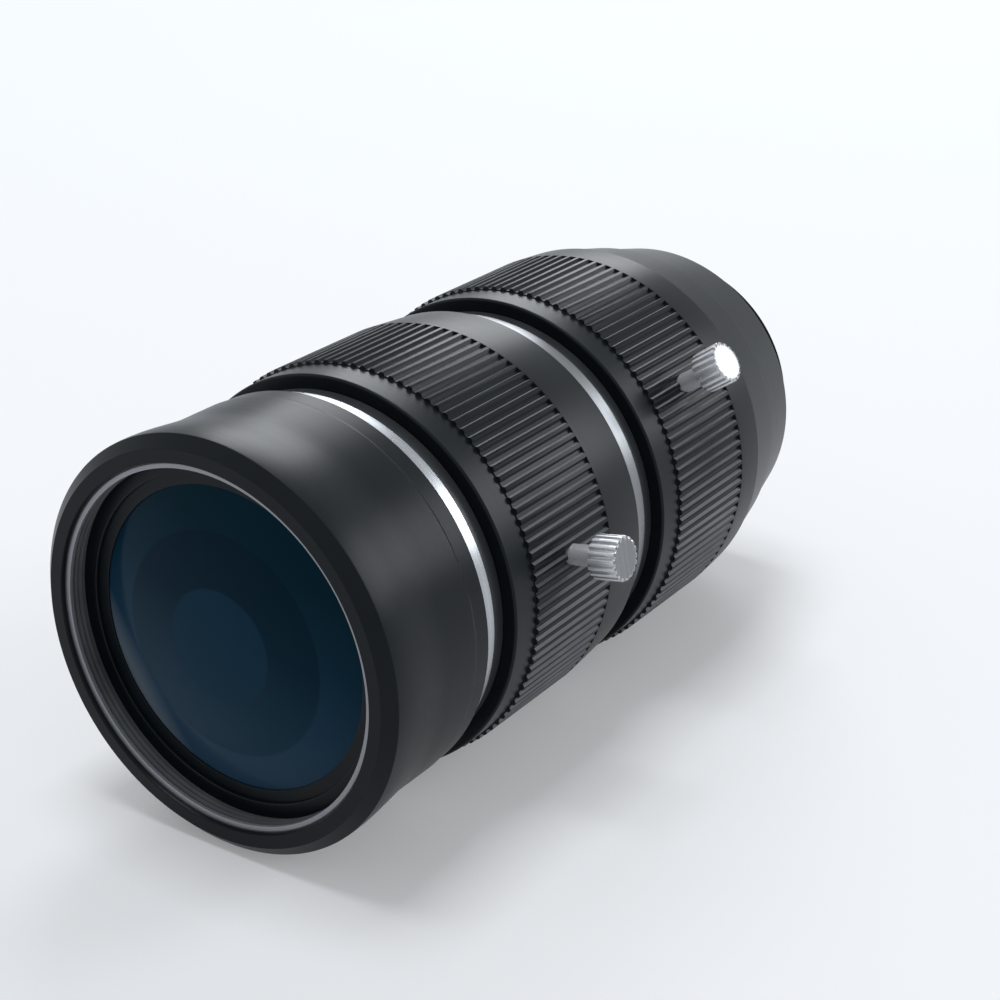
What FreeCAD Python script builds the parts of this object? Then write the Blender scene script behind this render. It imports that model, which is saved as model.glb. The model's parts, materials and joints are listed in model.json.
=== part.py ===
import FreeCAD, Part
import math
import os

# A fixed focal length lens with a screw mount at the rear, a focus ring and an iris ring.
# Lengths are in millimetres. Every piece is drawn with the optical axis on Z. Heights are
# counted forward from the rear flange, radii from the optical axis, and angles from +X.
# place() then lays the axis along Y, with the front towards -Y and the top towards +Z.

V = FreeCAD.Vector
ORIGIN = V(0, 0, 0)
AXIS = V(0, 0, 1)

# Running fits, seats, broken edges, and how far a cutter reaches past the metal
running_gap = 0.05
axial_play = 0.05
ring_gap = 0.30
barrel_gap = 0.20
glass_seat_gap = 0.02
edge_break = 0.15
overcut = 1.0

# Radii that the others are stepped from
body_r = 15.9
filter_thread_r = 15.18
mount_thread_r = 12.7

# Lengths along the axis, from the flange to the front
mount_len = 6.5
skirt_len = 5.0
iris_ring_len = 18.0
iris_washer_len = 1.4
iris_band_len = 2.15
focus_ring_len = 19.6
focus_washer_len = 1.5
focus_band_len = 1.5
barrel_len = 13.75

# Front barrel, outside
barrel_step = 1.5
barrel_line_rise = 2.05
barrel_line_step = 0.12
barrel_line_len = 0.25
rim_step = 0.5
rim_len = 3.4
rim_slope_len = 3.4
rim_bevel_len = 1.0
rim_bevel_step = 0.08
rim_face_step = 1.0

# Front barrel, inside
mouth_step = 0.58
mouth_bevel_len = 0.35
trim_wall = 0.42
trim_inset = 0.43
trim_thickness = 0.4
filter_depth = 2.4
filter_relief_len = 0.6
filter_relief_step = 0.25
retainer_inset = 0.35
retainer_len = 1.75
retainer_step = 1.05
front_seat_len = 3.5
front_web_thickness = 1.2
front_web_step = 1.0

# Body tube and its skirt, and the sleeve that slides in the body
body_wall = 1.6
skirt_step = 1.7
skirt_taper = 1.1
sleeve_wall = 1.05
sleeve_waist_wall = 1.2
sleeve_rear_rise = 1.0

# Bright retaining rings and grey washers on the body
band_step = 0.73
washer_step = 0.54

# Focus ring and iris ring
ring_wall = 2.1
front_band_step = 0.35
focus_rear_step = 0.44
focus_rear_band_len = 5.5
focus_front_band_len = 2.9
iris_rear_step = 0.26
iris_rear_band_len = 3.9
iris_front_band_len = 2.8

# Straight knurl of both rings
knurl_teeth = 116
knurl_depth = 0.28
knurl_groove_share = 0.5
knurl_land_len = 0.3
knurl_overcut = 0.1

# Focus drive: pins in the sleeve, straight slots in the body, spiral grooves in the ring
focus_travel = 5.0
focus_turn_deg = 200.0
focus_pin_count = 3
focus_pin_rise = 3.1
focus_pin_first_deg = 90.0
focus_pin_seat = 0.8
focus_bush_r = 1.45
focus_pin_r = 1.0
focus_groove_depth = 1.1

# Thumb-screws
screw_r = 0.9
screw_neck_len = 2.33
screw_tip_gap = 0.1
screw_head_r = 1.9
screw_flute_depth = 0.22
screw_head_len = 2.7
screw_teeth = 18
focus_screw_deg = 10.4
iris_screw_deg = 35.1

# Rear mount
mount_front_step = 0.15
mount_taper = 1.5
mount_edge = 0.12
mount_thread_len = 4.0
mount_thread_edge = 0.4
mount_wall = 1.5
mount_floor_h = 2.5
spigot_step = 0.5
spigot_len = 4.0
spigot_wall = 2.4

# Front element and its retaining ring
front_glass_margin = 0.53
front_glass_curve = 90.0
front_glass_rear_curve = 200.0
front_clear_step = 0.5
retainer_lip = 0.15

# Front cemented pair in its cell
cell_wall = 1.2
cell_front_gap = 0.5
cell_lip_thickness = 2.18
cell_lip_step = 1.0
pair_clear_step = 0.8
pair_ring_step = 0.4
pair_ring_inset = 1.2
pair_ring_len = 1.6
pair_front_curve = 40.0
pair_inner_curve = 50.0
pair_rear_curve = 35.0
pair_front_thickness = 6.5
pair_rear_thickness = 2.0

# Iris
blade_count = 9
blade_turn_deg = 30.0
blade_width = 3.2
blade_span_deg = 135.0
blade_thickness = 0.08
blade_pitch = 0.12
blade_lever_deg = 20.0
blade_ear_r = 0.65
blade_pin_r = 0.4
iris_turn_deg = 60.0
iris_gap = 0.1
iris_pivot_margin = 0.75
iris_open_step = 0.2
iris_floor_rise = 3.5
iris_floor_thickness = 0.8
iris_wall = 0.5
iris_cap_step = 0.3
iris_cap_thickness = 0.7
cam_step = 0.5
cam_len = 3.2
cam_slot_depth = 1.0
iris_pin_above_slots = 0.95
iris_pin_r = 0.8
iris_pin_seat = 1.3
iris_pin_reach = 0.95
iris_pin_deg = 200.0

# Rear cell and its glass
rear_tube_gap = 0.6
rear_tube_end_h = 0.5
rear_tube_wall = 1.0
rear_lip_thickness = 0.8
rear_clear_step = 0.9
rear_pair_front_curve = 30.0
rear_pair_inner_curve = 26.0
rear_pair_rear_curve = 45.0
rear_pair_front_thickness = 1.4
rear_pair_rear_thickness = 4.6
rear_air_gap = 1.2
rear_single_front_curve = 60.0
rear_single_rear_curve = 200.0
rear_single_thickness = 3.0
rear_ring_len = 1.0
wrench_slot_width = 1.0
wrench_slot_depth = 0.5


def cap_height(curve, r):
    """Height of a spherical cap of radius curve out to the distance r."""
    return curve - math.sqrt(curve * curve - r * r)


# Heights that follow from the sizes above, from the flange to the front
mount_joint_h = mount_len
iris_rear_h = mount_joint_h + skirt_len
iris_front_h = iris_rear_h + iris_ring_len
iris_knurl_rear_h = iris_rear_h + iris_rear_band_len
iris_knurl_front_h = iris_front_h - iris_front_band_len
iris_screw_h = (iris_knurl_front_h + iris_knurl_rear_h) / 2
iris_washer_rear_h = iris_front_h + axial_play
iris_washer_front_h = iris_washer_rear_h + iris_washer_len
iris_band_front_h = iris_washer_front_h + iris_band_len
focus_rear_h = iris_band_front_h + ring_gap
focus_front_h = focus_rear_h + focus_ring_len
focus_knurl_rear_h = focus_rear_h + focus_rear_band_len
focus_knurl_front_h = focus_front_h - focus_front_band_len
focus_screw_h = (focus_knurl_front_h + focus_knurl_rear_h) / 2
focus_washer_rear_h = focus_front_h + axial_play
focus_washer_front_h = focus_washer_rear_h + focus_washer_len
body_front_h = focus_washer_front_h + focus_band_len
barrel_rear_h = body_front_h + barrel_gap
barrel_line_h = barrel_rear_h + barrel_line_rise
front_h = barrel_rear_h + barrel_len
trim_front_h = front_h - trim_inset
filter_shoulder_h = front_h - filter_depth
filter_relief_front_h = filter_shoulder_h + filter_relief_len
retainer_front_h = filter_shoulder_h - retainer_inset
retainer_seat_h = retainer_front_h - retainer_len
front_web_rear_h = retainer_seat_h - front_seat_len
focus_pin_h = focus_rear_h + focus_pin_rise
sleeve_rear_h = iris_rear_h + sleeve_rear_rise
iris_floor_h = sleeve_rear_h + iris_floor_rise

# Radii that follow from the sizes above
barrel_r = body_r + barrel_step
barrel_rear_r = barrel_r - barrel_line_step
rim_r = barrel_r + rim_step
rim_bevel_r = rim_r - rim_bevel_step
front_face_r = rim_r - rim_face_step
mouth_r = filter_thread_r + mouth_step
trim_outer_r = filter_thread_r + trim_wall
filter_relief_r = filter_thread_r + filter_relief_step
retainer_r = filter_thread_r - retainer_step
front_glass_r = retainer_r - front_glass_margin
front_clear_r = front_glass_r - front_clear_step
front_web_r = front_glass_r - front_web_step
band_r = body_r + band_step
washer_r = body_r + washer_step
knurl_r = body_r + ring_wall
knurl_floor_r = knurl_r - knurl_depth
front_band_r = knurl_r - front_band_step
focus_rear_r = knurl_r - focus_rear_step
iris_rear_r = knurl_r - iris_rear_step
ring_bore_r = body_r + running_gap
skirt_front_r = body_r + skirt_step
skirt_rear_r = skirt_front_r - skirt_taper
spigot_r = body_r - spigot_step
mount_front_r = skirt_rear_r - mount_front_step
mount_rear_r = mount_front_r - mount_taper
mount_bore_r = mount_thread_r - mount_wall
mount_chamber_r = spigot_r - spigot_wall
body_bore_r = body_r - body_wall
sleeve_r = body_bore_r - running_gap
sleeve_bore_r = sleeve_r - sleeve_wall
sleeve_waist_r = sleeve_bore_r - sleeve_waist_wall
focus_pin_root_r = sleeve_r - focus_pin_seat
screw_head_start_r = knurl_r + screw_neck_len
screw_head_floor_r = screw_head_r - screw_flute_depth

# Front glass and the cemented pair
retainer_lip_h = retainer_front_h - retainer_lip
front_glass_h = retainer_lip_h + cap_height(front_glass_curve, front_clear_r)
front_glass_seat_h = front_web_rear_h + front_web_thickness
front_glass_rear_h = front_glass_seat_h - cap_height(front_glass_rear_curve, front_web_r)
pair_glass_r = sleeve_bore_r - cell_wall
pair_clear_r = pair_glass_r - pair_clear_step
pair_ring_r = pair_glass_r + pair_ring_step
cell_lip_r = pair_glass_r - cell_lip_step
cell_front_h = front_web_rear_h - cell_front_gap
pair_ring_front_h = cell_front_h - pair_ring_inset
pair_ring_rear_h = pair_ring_front_h - pair_ring_len
pair_front_h = pair_ring_rear_h + cap_height(pair_front_curve, pair_clear_r)
pair_inner_h = pair_front_h - pair_front_thickness
pair_rear_h = pair_inner_h - pair_rear_thickness
cell_lip_h = pair_rear_h - cap_height(pair_rear_curve, pair_glass_r)
sleeve_waist_front_h = cell_lip_h - cell_lip_thickness

# Iris
iris_wall_bore_r = sleeve_bore_r - iris_wall
cam_outer_r = iris_wall_bore_r - iris_gap
blade_pivot_r = iris_wall_bore_r - iris_pivot_margin
blade_outer_r = blade_pivot_r - blade_ear_r
blade_inner_r = blade_outer_r - blade_width
iris_open_r = blade_inner_r - iris_open_step
cam_inner_r = blade_inner_r + cam_step
iris_cap_r = cam_inner_r - iris_cap_step
iris_pin_root_r = cam_outer_r - iris_pin_seat
iris_pin_tip_r = ring_bore_r + iris_pin_reach
iris_end_deg = iris_pin_deg + iris_turn_deg
iris_housing_rear_h = iris_floor_h - iris_floor_thickness
blades_h = iris_floor_h + iris_gap / 2
cam_rear_h = blades_h + blade_count * blade_pitch + iris_gap / 2
cam_front_h = cam_rear_h + cam_len
cap_rear_h = cam_front_h + axial_play
sleeve_waist_rear_h = cap_rear_h + iris_cap_thickness
iris_pin_h = cam_rear_h + cam_slot_depth + iris_pin_above_slots

# Rear cell and its glass
rear_tube_r = mount_bore_r - rear_tube_gap
rear_glass_r = rear_tube_r - rear_tube_wall
rear_clear_r = rear_glass_r - rear_clear_step
rear_lip_h = iris_housing_rear_h - rear_lip_thickness
rear_pair_front_h = rear_lip_h - cap_height(rear_pair_front_curve, rear_glass_r)
rear_pair_inner_h = rear_pair_front_h - rear_pair_front_thickness
rear_pair_rear_h = rear_pair_inner_h - rear_pair_rear_thickness
rear_single_front_h = rear_pair_rear_h - rear_air_gap
rear_single_rear_h = rear_single_front_h - rear_single_thickness
rear_ring_front_h = rear_single_rear_h + cap_height(rear_single_rear_curve, rear_clear_r)

focus_pin_angles = [focus_pin_first_deg + 360.0 * k / focus_pin_count for k in range(focus_pin_count)]


def turned(points):
    """Solid of revolution about the optical axis from (radius, height) corners."""
    corners = [V(r, 0, h) for r, h in points]
    face = Part.Face(Part.makePolygon(corners + corners[:1]))
    return face.revolve(ORIGIN, AXIS, 360)


def tube(r_in, r_out, h_low, h_high):
    return turned([(r_in, h_low), (r_out, h_low), (r_out, h_high), (r_in, h_high)])


def sector(r_in, r_out, h_low, h_high, start_deg, end_deg):
    """Part of a tube between two angles."""
    corners = [V(r_in, 0, h_low), V(r_out, 0, h_low), V(r_out, 0, h_high), V(r_in, 0, h_high)]
    face = Part.Face(Part.makePolygon(corners + corners[:1]))
    face.rotate(ORIGIN, AXIS, start_deg)
    return face.revolve(ORIGIN, AXIS, end_deg - start_deg)


def on_circle(r, degrees, h=0.0):
    turn = math.radians(degrees)
    return V(r * math.cos(turn), r * math.sin(turn), h)


def radial_pin(r, r_start, r_end, h, degrees):
    """Round pin that points away from the optical axis."""
    return Part.makeCylinder(r, r_end - r_start, on_circle(r_start, degrees, h), on_circle(1, degrees))


def straight_slot(half_width, r_start, r_end, h_low, h_high, degrees):
    """Round-ended cutter along the axis, between the heights of its two end centres."""
    ends = [radial_pin(half_width, r_start, r_end, h, degrees) for h in (h_low, h_high)]
    corner = V(r_start, -half_width, h_low)
    middle = Part.makeBox(r_end - r_start, 2 * half_width, h_high - h_low, corner)
    middle.rotate(ORIGIN, AXIS, degrees)
    return middle.fuse(ends)


def arc_slot(half_width, r_start, r_end, h, start_deg, end_deg):
    """Round-ended cutter around the axis, between the angles of its two end centres."""
    ends = [radial_pin(half_width, r_start, r_end, h, degrees) for degrees in (start_deg, end_deg)]
    middle = sector(r_start, r_end, h - half_width, h + half_width, start_deg, end_deg)
    return middle.fuse(ends)


def window(half_width, r_start, r_end, h_low, h_high, start_deg, end_deg):
    """Opening for a radial pin that both turns and slides."""
    reach = math.degrees(half_width / r_start)
    return sector(r_start, r_end, h_low - half_width, h_high + half_width, start_deg - reach, end_deg + reach)


def around(shape, count):
    """Copies of a shape, evenly spaced around the optical axis."""
    copies = []
    for k in range(count):
        copy = shape.copy()
        copy.rotate(ORIGIN, AXIS, 360.0 * k / count)
        copies.append(copy)
    return copies


def lens(r, front_vertex_h, front_curve, rear_vertex_h, rear_curve):
    """Glass with spherical faces. A curve is the sphere's radius, negative on a hollow face."""
    def face_height(vertex_h, curve, at, outward):
        return vertex_h - outward * math.copysign(cap_height(abs(curve), at), curve)

    stops = (0, r / 2, r)
    front = [V(at, 0, face_height(front_vertex_h, front_curve, at, 1)) for at in stops]
    rear = [V(at, 0, face_height(rear_vertex_h, rear_curve, at, -1)) for at in reversed(stops)]
    edges = [
        Part.Arc(*front).toShape(),
        Part.LineSegment(front[2], rear[0]).toShape(),
        Part.Arc(*rear).toShape(),
        Part.LineSegment(rear[2], front[0]).toShape(),
    ]
    return Part.Face(Part.Wire(edges)).revolve(ORIGIN, AXIS, 360)


def wrench_slots(r_in, r_out, h_low):
    """Two notches across a retaining ring's face for a pin wrench."""
    corner = V(r_in, -wrench_slot_width / 2, h_low)
    slot = Part.makeBox(r_out - r_in, wrench_slot_width, wrench_slot_depth, corner)
    return around(slot, 2)


def toothed_outline(count, floor_r, top_r):
    """Closed outline of straight teeth: a flank, a top, a flank and a floor of equal width."""
    corners = []
    for tooth in range(count):
        for quarter, r in enumerate((floor_r, top_r, top_r, floor_r)):
            corners.append(on_circle(r, 360.0 * (tooth + quarter / 4) / count))
    return Part.makePolygon(corners + corners[:1])


def knurled_ring(bore_r, rear_r, rear_h, knurl_rear_h, knurl_front_h, ring_front_h):
    """Grip ring: a tapered rear band, the straight knurl, and a plain front band under its floor."""
    ring = turned([
        (bore_r, rear_h), (rear_r - edge_break, rear_h), (rear_r, rear_h + edge_break),
        (knurl_r, knurl_rear_h - knurl_land_len), (knurl_r, knurl_front_h), (front_band_r, knurl_front_h),
        (front_band_r, ring_front_h - edge_break), (front_band_r - edge_break, ring_front_h),
        (bore_r, ring_front_h),
    ])
    half_deg = 180.0 * knurl_groove_share / knurl_teeth
    corners = [
        on_circle(knurl_floor_r, -half_deg), on_circle(knurl_floor_r, half_deg),
        on_circle(knurl_r + knurl_overcut, half_deg), on_circle(knurl_r + knurl_overcut, -half_deg),
    ]
    groove = Part.Face(Part.makePolygon(corners + corners[:1]))
    groove.translate(V(0, 0, knurl_rear_h))
    groove = groove.extrude(V(0, 0, knurl_front_h - knurl_rear_h + overcut))
    return ring.cut(around(groove, knurl_teeth))


def spiral_groove():
    """Groove inside the focus ring that a drive pin follows while the ring turns."""
    half = focus_pin_r + running_gap
    high_r = ring_bore_r + focus_groove_depth
    lead = focus_travel * 360 / focus_turn_deg
    reach_deg = math.degrees(half / ring_bore_r)
    reach_h = lead * reach_deg / 360
    path = Part.makeHelix(lead, focus_travel + 2 * reach_h, ring_bore_r)
    low_r = ring_bore_r - overcut
    corners = [V(low_r, 0, -half), V(high_r, 0, -half), V(high_r, 0, half), V(low_r, 0, half)]
    section = Part.makePolygon(corners + corners[:1])
    groove = Part.Wire(path.Edges).makePipeShell([section], True, True)
    groove.translate(V(0, 0, focus_pin_h - reach_h))
    groove.rotate(ORIGIN, AXIS, focus_pin_first_deg - reach_deg)
    return groove


def screw_hole(h, degrees):
    return radial_pin(screw_r + running_gap, body_r - overcut, knurl_r + overcut, h, degrees)


def make_front_barrel():
    """Outer front tube with the filter thread and its relief, the glass seat and the sleeve's socket."""
    rim_rear_h = front_h - rim_len
    seat_bore_r = front_glass_r + glass_seat_gap
    trim_rear_h = trim_front_h - trim_thickness
    return turned([
        (mouth_r, front_h), (front_face_r, front_h), (rim_bevel_r, front_h - rim_bevel_len),
        (rim_r, front_h - rim_len / 2), (rim_r, rim_rear_h), (barrel_r, rim_rear_h - rim_slope_len),
        (barrel_r, barrel_line_h), (barrel_rear_r, barrel_line_h - barrel_line_len),
        (barrel_rear_r, barrel_rear_h + edge_break), (barrel_rear_r - edge_break, barrel_rear_h),
        (sleeve_r, barrel_rear_h), (sleeve_r, front_web_rear_h), (front_web_r, front_web_rear_h),
        (front_web_r, front_glass_seat_h), (seat_bore_r, front_glass_seat_h),
        (seat_bore_r, retainer_seat_h), (retainer_r, retainer_seat_h), (retainer_r, filter_shoulder_h),
        (filter_relief_r, filter_shoulder_h), (filter_relief_r, filter_relief_front_h),
        (filter_thread_r, filter_relief_front_h), (filter_thread_r, trim_rear_h),
        (trim_outer_r, trim_rear_h), (trim_outer_r, front_h - mouth_bevel_len),
    ])


def make_front_trim_ring():
    return tube(filter_thread_r, trim_outer_r, trim_front_h - trim_thickness, trim_front_h)


def make_front_retaining_ring():
    """Threaded ring whose lip holds the front element down."""
    clear_r = front_glass_r + glass_seat_gap
    return turned([
        (front_clear_r, retainer_lip_h + glass_seat_gap), (front_clear_r, retainer_front_h),
        (retainer_r, retainer_front_h), (retainer_r, retainer_seat_h), (clear_r, retainer_seat_h),
        (clear_r, retainer_lip_h),
    ])


def make_front_element():
    return lens(front_glass_r, front_glass_h, front_glass_curve, front_glass_rear_h, front_glass_rear_curve)


def make_optical_sleeve():
    """Sleeve that carries all the glass and the iris, and slides in the body."""
    sleeve = turned([
        (sleeve_bore_r, front_web_rear_h), (sleeve_r, front_web_rear_h), (sleeve_r, sleeve_rear_h),
        (sleeve_bore_r, sleeve_rear_h), (sleeve_bore_r, sleeve_waist_rear_h),
        (sleeve_waist_r, sleeve_waist_rear_h), (sleeve_waist_r, sleeve_waist_front_h),
        (sleeve_bore_r, sleeve_waist_front_h),
    ])
    cuts = [radial_pin(focus_bush_r, focus_pin_root_r, body_r, focus_pin_h, a) for a in focus_pin_angles]
    half = iris_pin_r + iris_gap
    cuts.append(arc_slot(half, sleeve_bore_r - overcut, body_r, iris_pin_h, iris_pin_deg, iris_end_deg))
    return sleeve.cut(cuts)


def make_focus_drive_pins():
    """Stepped pins: the bush guides in the body's slot, the tip drives in the ring's groove."""
    tip_r = ring_bore_r + focus_groove_depth - ring_gap
    pins = []
    for degrees in focus_pin_angles:
        bush = radial_pin(focus_bush_r, focus_pin_root_r, body_r - running_gap, focus_pin_h, degrees)
        tip = radial_pin(focus_pin_r, focus_pin_root_r, tip_r, focus_pin_h, degrees)
        pins.append(bush.fuse(tip).removeSplitter())
    return Part.makeCompound(pins)


def make_front_cell():
    """Cell that holds the front cemented pair."""
    seat_bore_r = pair_glass_r + glass_seat_gap
    return turned([
        (pair_ring_r, cell_front_h), (sleeve_bore_r, cell_front_h), (sleeve_bore_r, sleeve_waist_front_h),
        (cell_lip_r, sleeve_waist_front_h), (cell_lip_r, cell_lip_h), (seat_bore_r, cell_lip_h),
        (seat_bore_r, pair_ring_rear_h), (pair_ring_r, pair_ring_rear_h),
    ])


def make_front_cell_ring():
    """Threaded ring that holds the cemented pair in its cell."""
    ring = tube(pair_clear_r, pair_ring_r, pair_ring_rear_h + glass_seat_gap, pair_ring_front_h)
    return ring.cut(wrench_slots(pair_clear_r - overcut, pair_ring_r, pair_ring_front_h - wrench_slot_depth))


def make_front_pair_crown():
    return lens(pair_glass_r, pair_front_h, pair_front_curve, pair_inner_h, pair_inner_curve)


def make_front_pair_flint():
    return lens(pair_glass_r, pair_inner_h, -pair_inner_curve, pair_rear_h, -pair_rear_curve)


def make_iris_housing():
    """Cup with the blades' pivot holes; its wall is slotted for the iris drive pin."""
    cup = turned([
        (iris_open_r, iris_housing_rear_h), (sleeve_bore_r, iris_housing_rear_h), (sleeve_bore_r, cap_rear_h),
        (iris_wall_bore_r, cap_rear_h), (iris_wall_bore_r, iris_floor_h), (iris_open_r, iris_floor_h),
    ])
    centre = on_circle(blade_pivot_r, 0, iris_housing_rear_h)
    hole = Part.makeCylinder(blade_pin_r + running_gap, iris_floor_thickness, centre, AXIS)
    half = iris_pin_r + iris_gap
    low_r = iris_wall_bore_r - overcut
    high_r = sleeve_bore_r + overcut
    slot = arc_slot(half, low_r, high_r, iris_pin_h, iris_pin_deg, iris_end_deg)
    return cup.cut(around(hole, blade_count) + [slot])


def make_iris_cap():
    """Flat ring between the sleeve's shoulder and the iris cam."""
    return tube(iris_cap_r, sleeve_bore_r, cap_rear_h, sleeve_waist_rear_h)


def lever_place(share):
    """Place of the first blade's drive pin when the iris has closed by a share."""
    pivot = on_circle(blade_pivot_r, 0)
    swing = FreeCAD.Rotation(AXIS, blade_turn_deg * share)
    return pivot + swing.multVec(on_circle(blade_pivot_r, blade_lever_deg) - pivot)


def cam_slot():
    """Round-ended cutter that follows the drive pin's path across the turning cam ring."""
    half = blade_pin_r + running_gap
    steps = 12
    path = []
    for step in range(steps + 1):
        back = FreeCAD.Rotation(AXIS, -iris_turn_deg * step / steps)
        path.append(back.multVec(lever_place(step / steps)))
    left = []
    right = []
    for step, point in enumerate(path):
        ahead = path[min(step + 1, steps)] - path[max(step - 1, 0)]
        across = V(-ahead.y, ahead.x, 0).normalize() * half
        left.append(point + across)
        right.append(point - across)
    start_tip = path[0] + (path[0] - path[1]).normalize() * half
    end_tip = path[-1] + (path[-1] - path[-2]).normalize() * half
    left_side = Part.BSplineCurve()
    left_side.interpolate(left)
    right_side = Part.BSplineCurve()
    right_side.interpolate(right)
    outline = Part.Wire([
        left_side.toShape(),
        Part.Arc(left[-1], end_tip, right[-1]).toShape(),
        right_side.toShape(),
        Part.Arc(right[0], start_tip, left[0]).toShape(),
    ])
    slot = Part.Face(outline).extrude(V(0, 0, cam_slot_depth))
    slot.translate(V(0, 0, cam_rear_h))
    return slot


def make_iris_cam():
    """Ring whose slanted slots swing the blades; the drive pin's hole lies in front of the slots."""
    cam = tube(cam_inner_r, cam_outer_r, cam_rear_h, cam_front_h)
    pin_hole = radial_pin(iris_pin_r, iris_pin_root_r, cam_outer_r + overcut, iris_pin_h, iris_pin_deg)
    return cam.cut(around(cam_slot(), blade_count) + [pin_hole])


def make_iris_drive_pin():
    return radial_pin(iris_pin_r, iris_pin_root_r, iris_pin_tip_r, iris_pin_h, iris_pin_deg)


def make_blade(index):
    """Crescent blade with its pivot pin towards the rear and its drive pin towards the front."""
    low_h = blades_h + index * blade_pitch
    high_h = low_h + blade_thickness
    pivot = on_circle(blade_pivot_r, 0, low_h)
    lever = on_circle(blade_pivot_r, blade_lever_deg, low_h)
    middle_r = (blade_inner_r + blade_outer_r) / 2
    tip = on_circle(middle_r, blade_span_deg, low_h)
    crescent = sector(blade_inner_r, blade_outer_r, low_h, high_h, 0, blade_span_deg)
    round_tip = Part.makeCylinder((blade_outer_r - blade_inner_r) / 2, blade_thickness, tip, AXIS)
    ear = sector(middle_r, blade_pivot_r + blade_ear_r, low_h, high_h, 0, blade_lever_deg)
    ear_ends = [Part.makeCylinder(blade_ear_r, blade_thickness, place, AXIS) for place in (pivot, lever)]
    pivot_pin = Part.makeCylinder(blade_pin_r, high_h - iris_housing_rear_h,
                                  on_circle(blade_pivot_r, 0, iris_housing_rear_h), AXIS)
    drive_pin = Part.makeCylinder(blade_pin_r, cam_rear_h + cam_slot_depth - iris_gap - low_h, lever, AXIS)
    blade = crescent.fuse([round_tip, ear] + ear_ends + [pivot_pin, drive_pin]).removeSplitter()
    blade.rotate(ORIGIN, AXIS, 360.0 * index / blade_count)
    return blade


def make_rear_cell():
    """Cell that screws into the sleeve's rear end and reaches back into the mount."""
    seat_bore_r = rear_glass_r + glass_seat_gap
    return turned([
        (rear_clear_r, iris_housing_rear_h), (sleeve_bore_r, iris_housing_rear_h),
        (sleeve_bore_r, sleeve_rear_h), (rear_tube_r, sleeve_rear_h), (rear_tube_r, rear_tube_end_h),
        (seat_bore_r, rear_tube_end_h), (seat_bore_r, rear_lip_h), (rear_clear_r, rear_lip_h),
    ])


def make_rear_pair_flint():
    return lens(
        rear_glass_r, rear_pair_front_h, -rear_pair_front_curve, rear_pair_inner_h, -rear_pair_inner_curve)


def make_rear_pair_crown():
    return lens(
        rear_glass_r, rear_pair_inner_h, rear_pair_inner_curve, rear_pair_rear_h, rear_pair_rear_curve)


def make_rear_spacer():
    """Thin tube that keeps the air gap between the rear pair and the rear element."""
    top_h = rear_pair_rear_h + cap_height(rear_pair_rear_curve, rear_clear_r)
    low_h = rear_single_front_h - cap_height(rear_single_front_curve, rear_clear_r)
    return tube(rear_clear_r, rear_glass_r, low_h, top_h)


def make_rear_element():
    return lens(rear_glass_r, rear_single_front_h, rear_single_front_curve,
                rear_single_rear_h, rear_single_rear_curve)


def make_rear_retaining_ring():
    low_h = rear_ring_front_h - rear_ring_len
    ring = tube(rear_clear_r, rear_glass_r + glass_seat_gap, low_h, rear_ring_front_h - glass_seat_gap)
    return ring.cut(wrench_slots(rear_clear_r - overcut, rear_glass_r + glass_seat_gap, low_h))


def make_main_body():
    """Fixed tube that both rings turn on, with the tapered skirt behind the iris ring."""
    skirt_h = iris_rear_h - axial_play
    body = turned([
        (body_bore_r, body_front_h), (body_r, body_front_h), (body_r, skirt_h), (skirt_front_r, skirt_h),
        (skirt_rear_r, mount_joint_h), (spigot_r, mount_joint_h), (spigot_r, mount_joint_h + spigot_len),
        (body_bore_r, mount_joint_h + spigot_len),
    ])
    half = focus_bush_r + running_gap
    cuts = []
    for degrees in focus_pin_angles:
        cuts.append(straight_slot(half, body_bore_r - overcut, body_r + overcut,
                                  focus_pin_h, focus_pin_h + focus_travel, degrees))
    cuts.append(window(iris_pin_r + iris_gap, body_bore_r - overcut, body_r + overcut,
                       iris_pin_h, iris_pin_h + focus_travel, iris_pin_deg, iris_end_deg))
    return body.cut(cuts)


def make_focus_retaining_ring():
    return tube(body_r, band_r, focus_washer_front_h, body_front_h)


def make_focus_washer():
    return tube(body_r, washer_r, focus_washer_rear_h, focus_washer_front_h)


def make_iris_retaining_ring():
    return tube(body_r, band_r, iris_washer_front_h, iris_band_front_h)


def make_iris_washer():
    return tube(body_r, washer_r, iris_washer_rear_h, iris_washer_front_h)


def make_focus_ring():
    """Grip ring with a spiral groove for each drive pin and the hole of its thumb-screw."""
    ring = knurled_ring(ring_bore_r, focus_rear_r, focus_rear_h, focus_knurl_rear_h, focus_knurl_front_h,
                        focus_front_h)
    return ring.cut(around(spiral_groove(), focus_pin_count) + [screw_hole(focus_screw_h, focus_screw_deg)])


def make_iris_ring():
    """Grip ring with a straight groove for the iris drive pin and the hole of its thumb-screw."""
    ring = knurled_ring(ring_bore_r, iris_rear_r, iris_rear_h, iris_knurl_rear_h, iris_knurl_front_h,
                        iris_front_h)
    groove = straight_slot(iris_pin_r + running_gap, ring_bore_r - overcut, iris_pin_tip_r + iris_gap,
                           iris_pin_h, iris_pin_h + focus_travel, iris_pin_deg)
    return ring.cut([groove, screw_hole(iris_screw_h, iris_screw_deg)])


def make_thumb_screw(h, degrees):
    """Locking screw: a plain shank through the ring and a fluted head."""
    shank = radial_pin(screw_r, body_r + screw_tip_gap, screw_head_start_r, h, degrees)
    outline = toothed_outline(screw_teeth, screw_head_floor_r, screw_head_r)
    head = Part.Face(outline).extrude(AXIS * screw_head_len)
    head.rotate(ORIGIN, V(0, 1, 0), 90)
    head.translate(V(screw_head_start_r, 0, h))
    head.rotate(ORIGIN, AXIS, degrees)
    return shank.fuse(head).removeSplitter()


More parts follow.
